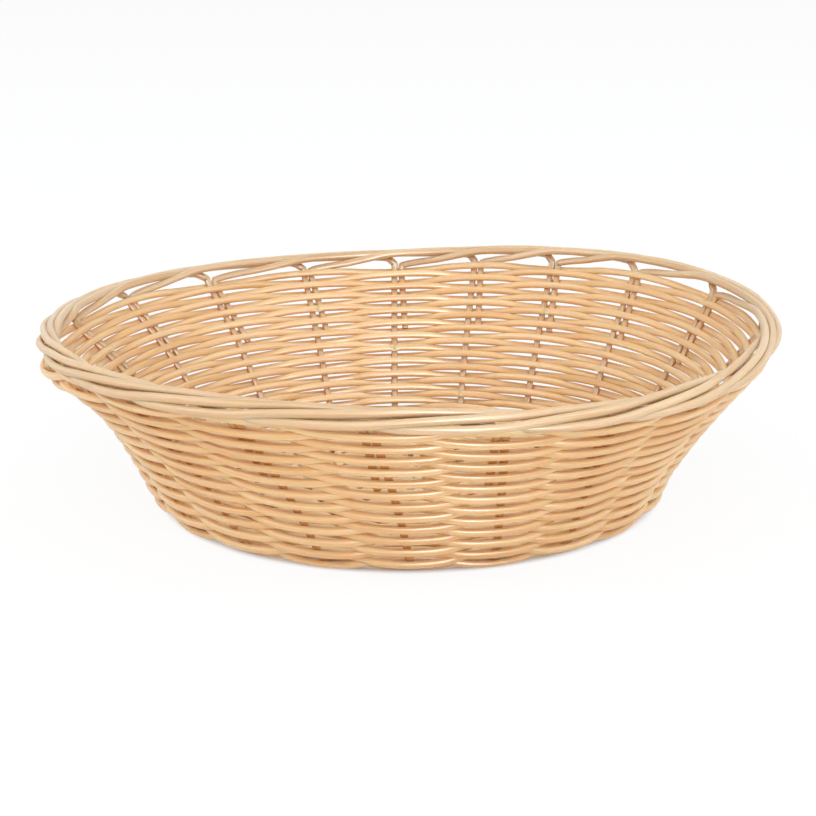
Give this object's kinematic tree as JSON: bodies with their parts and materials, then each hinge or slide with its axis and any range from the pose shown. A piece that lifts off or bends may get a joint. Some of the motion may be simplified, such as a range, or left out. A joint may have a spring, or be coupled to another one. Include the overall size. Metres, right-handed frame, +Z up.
{
  "type": "fruit basket",
  "caption": "Round, shallow, open fruit basket woven from pale round plastic strands: a plaited base, a flaring plain-weave wall and a rim laid from the ends of the wall's own stakes.",
  "frame": {"origin": "on the table under the middle of the basket", "axes": "+Z up out of the open top; -Y towards the side that the picture shows in front; +X to the right of that view"},
  "size_m": [0.2475, 0.2478, 0.064],
  "materials": {
    "stake_strand": "satin straw-coloured plastic with fine lines along the strand",
    "weaver_strand": "satin straw-coloured plastic with fine lines along the strand"
  },
  "bodies": {
    "root": {"stake_01": "stake_strand", "stake_02": "stake_strand", "stake_03": "stake_strand", "stake_04": "stake_strand", "stake_05": "stake_strand", "stake_06": "stake_strand", "stake_07": "stake_strand", "stake_08": "stake_strand", "stake_09": "stake_strand", "stake_10": "stake_strand", "stake_11": "stake_strand", "stake_12": "stake_strand", "stake_13": "stake_strand", "stake_14": "stake_strand", "stake_15": "stake_strand", "stake_16": "stake_strand", "stake_17": "stake_strand", "stake_18": "stake_strand", "stake_19": "stake_strand", "stake_20": "stake_strand", "base_stick_01": "stake_strand", "base_stick_02": "stake_strand", "base_stick_03": "stake_strand", "base_stick_04": "stake_strand", "base_stick_05": "stake_strand", "base_stick_06": "stake_strand", "base_stick_07": "stake_strand", "base_stick_08": "stake_strand", "base_stick_09": "stake_strand", "base_stick_10": "stake_strand", "wall_row_01": "weaver_strand", "wall_row_02": "weaver_strand", "wall_row_03": "weaver_strand", "wall_row_04": "weaver_strand", "wall_row_05": "weaver_strand", "wall_row_06": "weaver_strand", "wall_row_07": "weaver_strand", "wall_row_08": "weaver_strand", "wall_row_09": "weaver_strand", "wall_row_10": "weaver_strand", "wall_row_11": "weaver_strand", "wall_row_12": "weaver_strand", "wall_row_13": "weaver_strand", "wall_row_14": "weaver_strand", "wall_row_15": "weaver_strand", "wall_row_16": "weaver_strand", "wall_row_17": "weaver_strand", "wall_row_18": "weaver_strand", "wall_row_19": "weaver_strand", "wall_row_20": "weaver_strand", "wall_row_21": "weaver_strand", "wall_row_22": "weaver_strand", "wall_row_23": "weaver_strand", "wall_row_24": "weaver_strand", "wall_row_25": "weaver_strand", "base_weaver_a": "weaver_strand", "base_weaver_b": "weaver_strand"}
  },
  "joints": []
}
